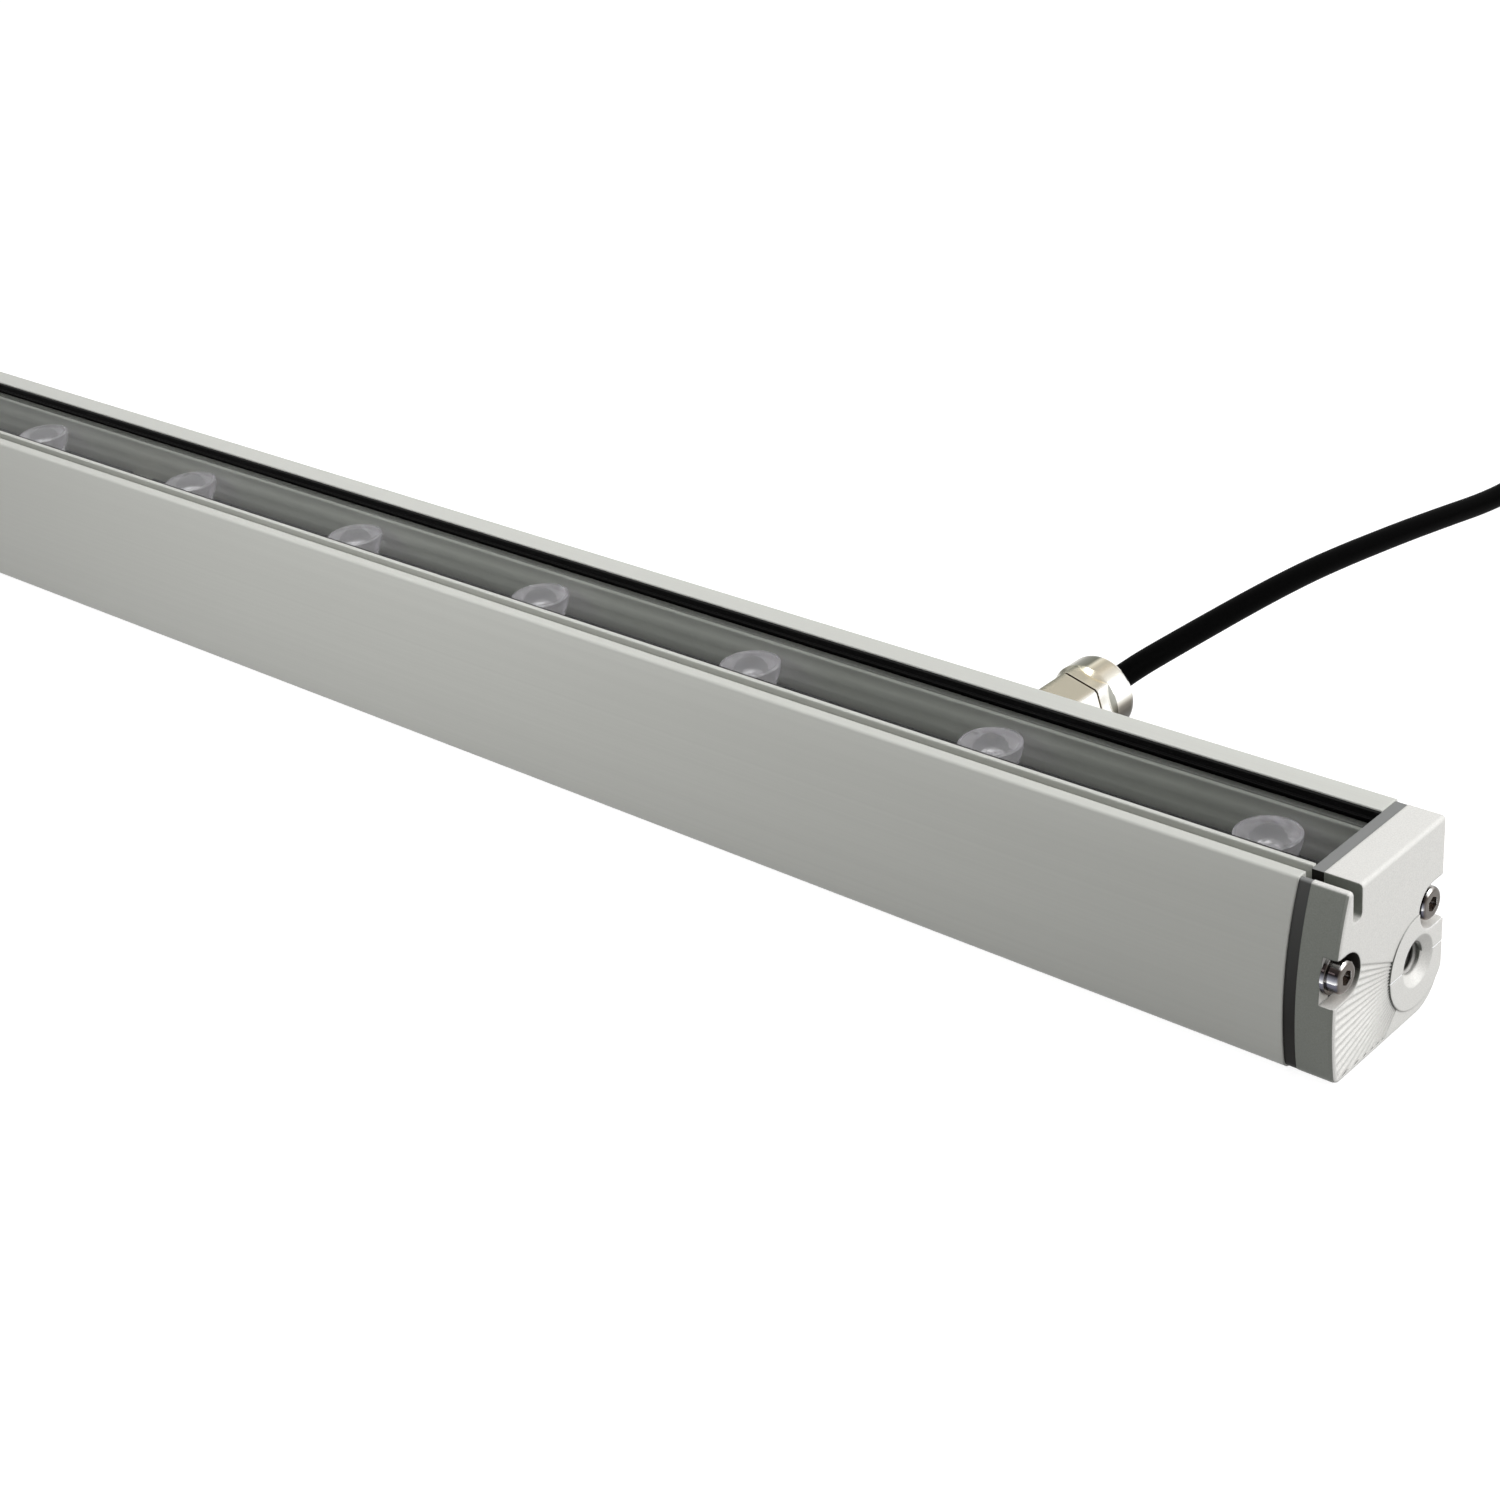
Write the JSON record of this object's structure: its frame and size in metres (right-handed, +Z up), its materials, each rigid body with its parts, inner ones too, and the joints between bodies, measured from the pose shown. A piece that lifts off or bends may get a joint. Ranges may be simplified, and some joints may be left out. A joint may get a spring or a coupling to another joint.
{
  "type": "outdoor wall washer light",
  "caption": "Slim linear wall washer: extruded aluminium housing, glazed row of lenses on top, cast end caps with fixing threads, rear gland and coiled supply cable.",
  "frame": {"origin": "centre of the housing's underside, midway along the light, on the surface it stands on", "axes": "+X along the light towards the end nearer the cable gland, +Y to the rear, where the cable leaves, +Z up, the way the light shines"},
  "size_m": [0.9934, 0.4224, 0.0504],
  "materials": {
    "anodised_extrusion": "satin",
    "cast_cap": "satin",
    "clear_glass": "polished",
    "black_rubber": "matte",
    "seat_tape": "matte",
    "grey_gasket": "matte",
    "stainless_screw": "polished",
    "led_board": "matte",
    "heat_pad": "matte",
    "led_package": "gloss",
    "clear_lens": "polished",
    "circuit_board": "satin",
    "terminal_plastic": "matte",
    "ferrite": "matte",
    "capacitor_sleeve": "gloss",
    "choke_copper": "gloss",
    "transistor_case": "matte",
    "wire_insulation": "satin",
    "core_insulation": "satin",
    "nickel_plated_brass": "polished",
    "cable_sheath": "satin",
    "tie_plastic": "matte"
  },
  "bodies": {
    "root": {"housing_profile": "anodised_extrusion", "front_glass": "clear_glass", "glazing_bead_front": "black_rubber", "glazing_bead_rear": "black_rubber", "glass_seat_tapes": "seat_tape", "end_cap_right": "cast_cap", "end_cap_left": "cast_cap", "end_gasket_right": "grey_gasket", "end_gasket_left": "grey_gasket", "cap_screws_right": "stainless_screw", "cap_screws_left": "stainless_screw", "led_board_right": "led_board", "led_board_left": "led_board", "heat_pads": "heat_pad", "board_screws": "stainless_screw", "led_packages": "led_package", "wire_grommet": "black_rubber", "link_wires": "wire_insulation", "driver_board": "circuit_board", "input_terminal": "terminal_plastic", "output_terminal": "terminal_plastic", "driver_transformer": "ferrite", "driver_capacitors": "capacitor_sleeve", "driver_chokes": "choke_copper", "driver_transistors": "transistor_case", "gland_body": "nickel_plated_brass", "gland_oring": "black_rubber", "gland_seal": "black_rubber", "gland_nut": "nickel_plated_brass", "cable_entry": "cable_sheath", "supply_cores": "core_insulation", "cable_run": "cable_sheath", "cable_coil": "cable_sheath", "coil_tie": "tie_plastic", "cable_cores": "core_insulation", "lens_01": "clear_lens", "lens_02": "clear_lens", "lens_03": "clear_lens", "lens_04": "clear_lens", "lens_05": "clear_lens", "lens_06": "clear_lens", "lens_07": "clear_lens", "lens_08": "clear_lens", "lens_09": "clear_lens", "lens_10": "clear_lens", "lens_11": "clear_lens", "lens_12": "clear_lens"}
  },
  "joints": []
}
